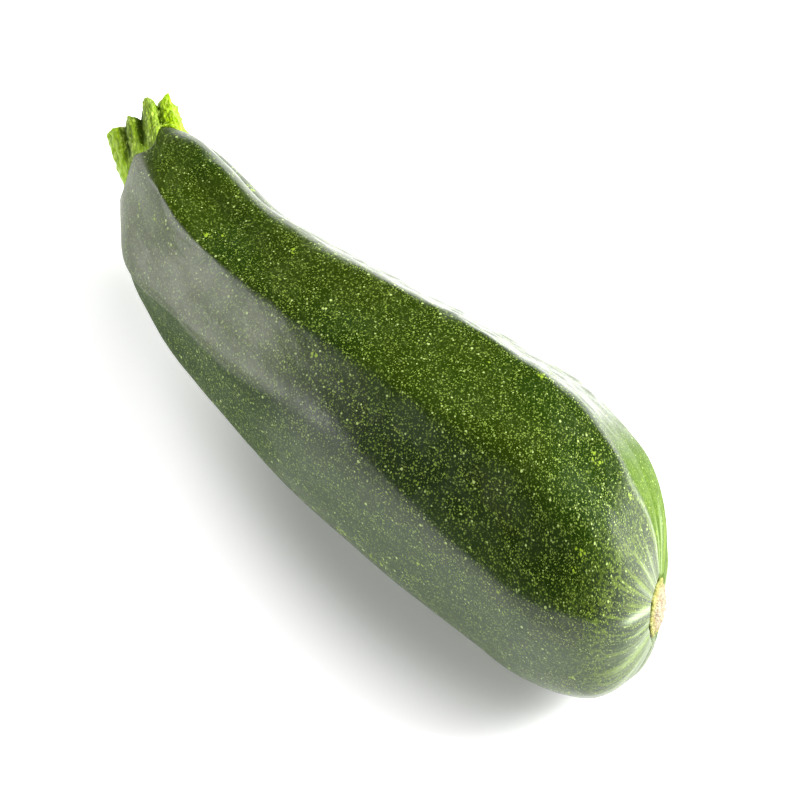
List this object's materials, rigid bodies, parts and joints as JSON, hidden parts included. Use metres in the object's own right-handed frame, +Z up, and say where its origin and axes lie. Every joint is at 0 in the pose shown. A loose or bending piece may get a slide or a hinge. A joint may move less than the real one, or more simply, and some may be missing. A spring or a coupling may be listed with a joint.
{
  "type": "courgette",
  "caption": "Whole fresh courgette lying on its side: a ribbed dark green fruit, thicker towards the blossom end, with a cut stem and a dry flower scar.",
  "frame": {"origin": "on the surface that the courgette lies on, under the middle of its bounding box", "axes": "+X runs along the fruit from the stem to the blossom end, +Z is up, and the fruit bows towards -Y"},
  "size_m": [0.1694, 0.0574, 0.0568],
  "materials": {
    "fruit_skin": "smooth satin skin, dark green with fine pale specks",
    "stem_rind": "fibrous, yellow-green, with a pale cut end",
    "dry_scar": "dry and corky, cream with a tan torn edge"
  },
  "bodies": {
    "root": {"fruit": "fruit_skin", "stem": "stem_rind", "blossom_scar": "dry_scar"}
  },
  "joints": []
}
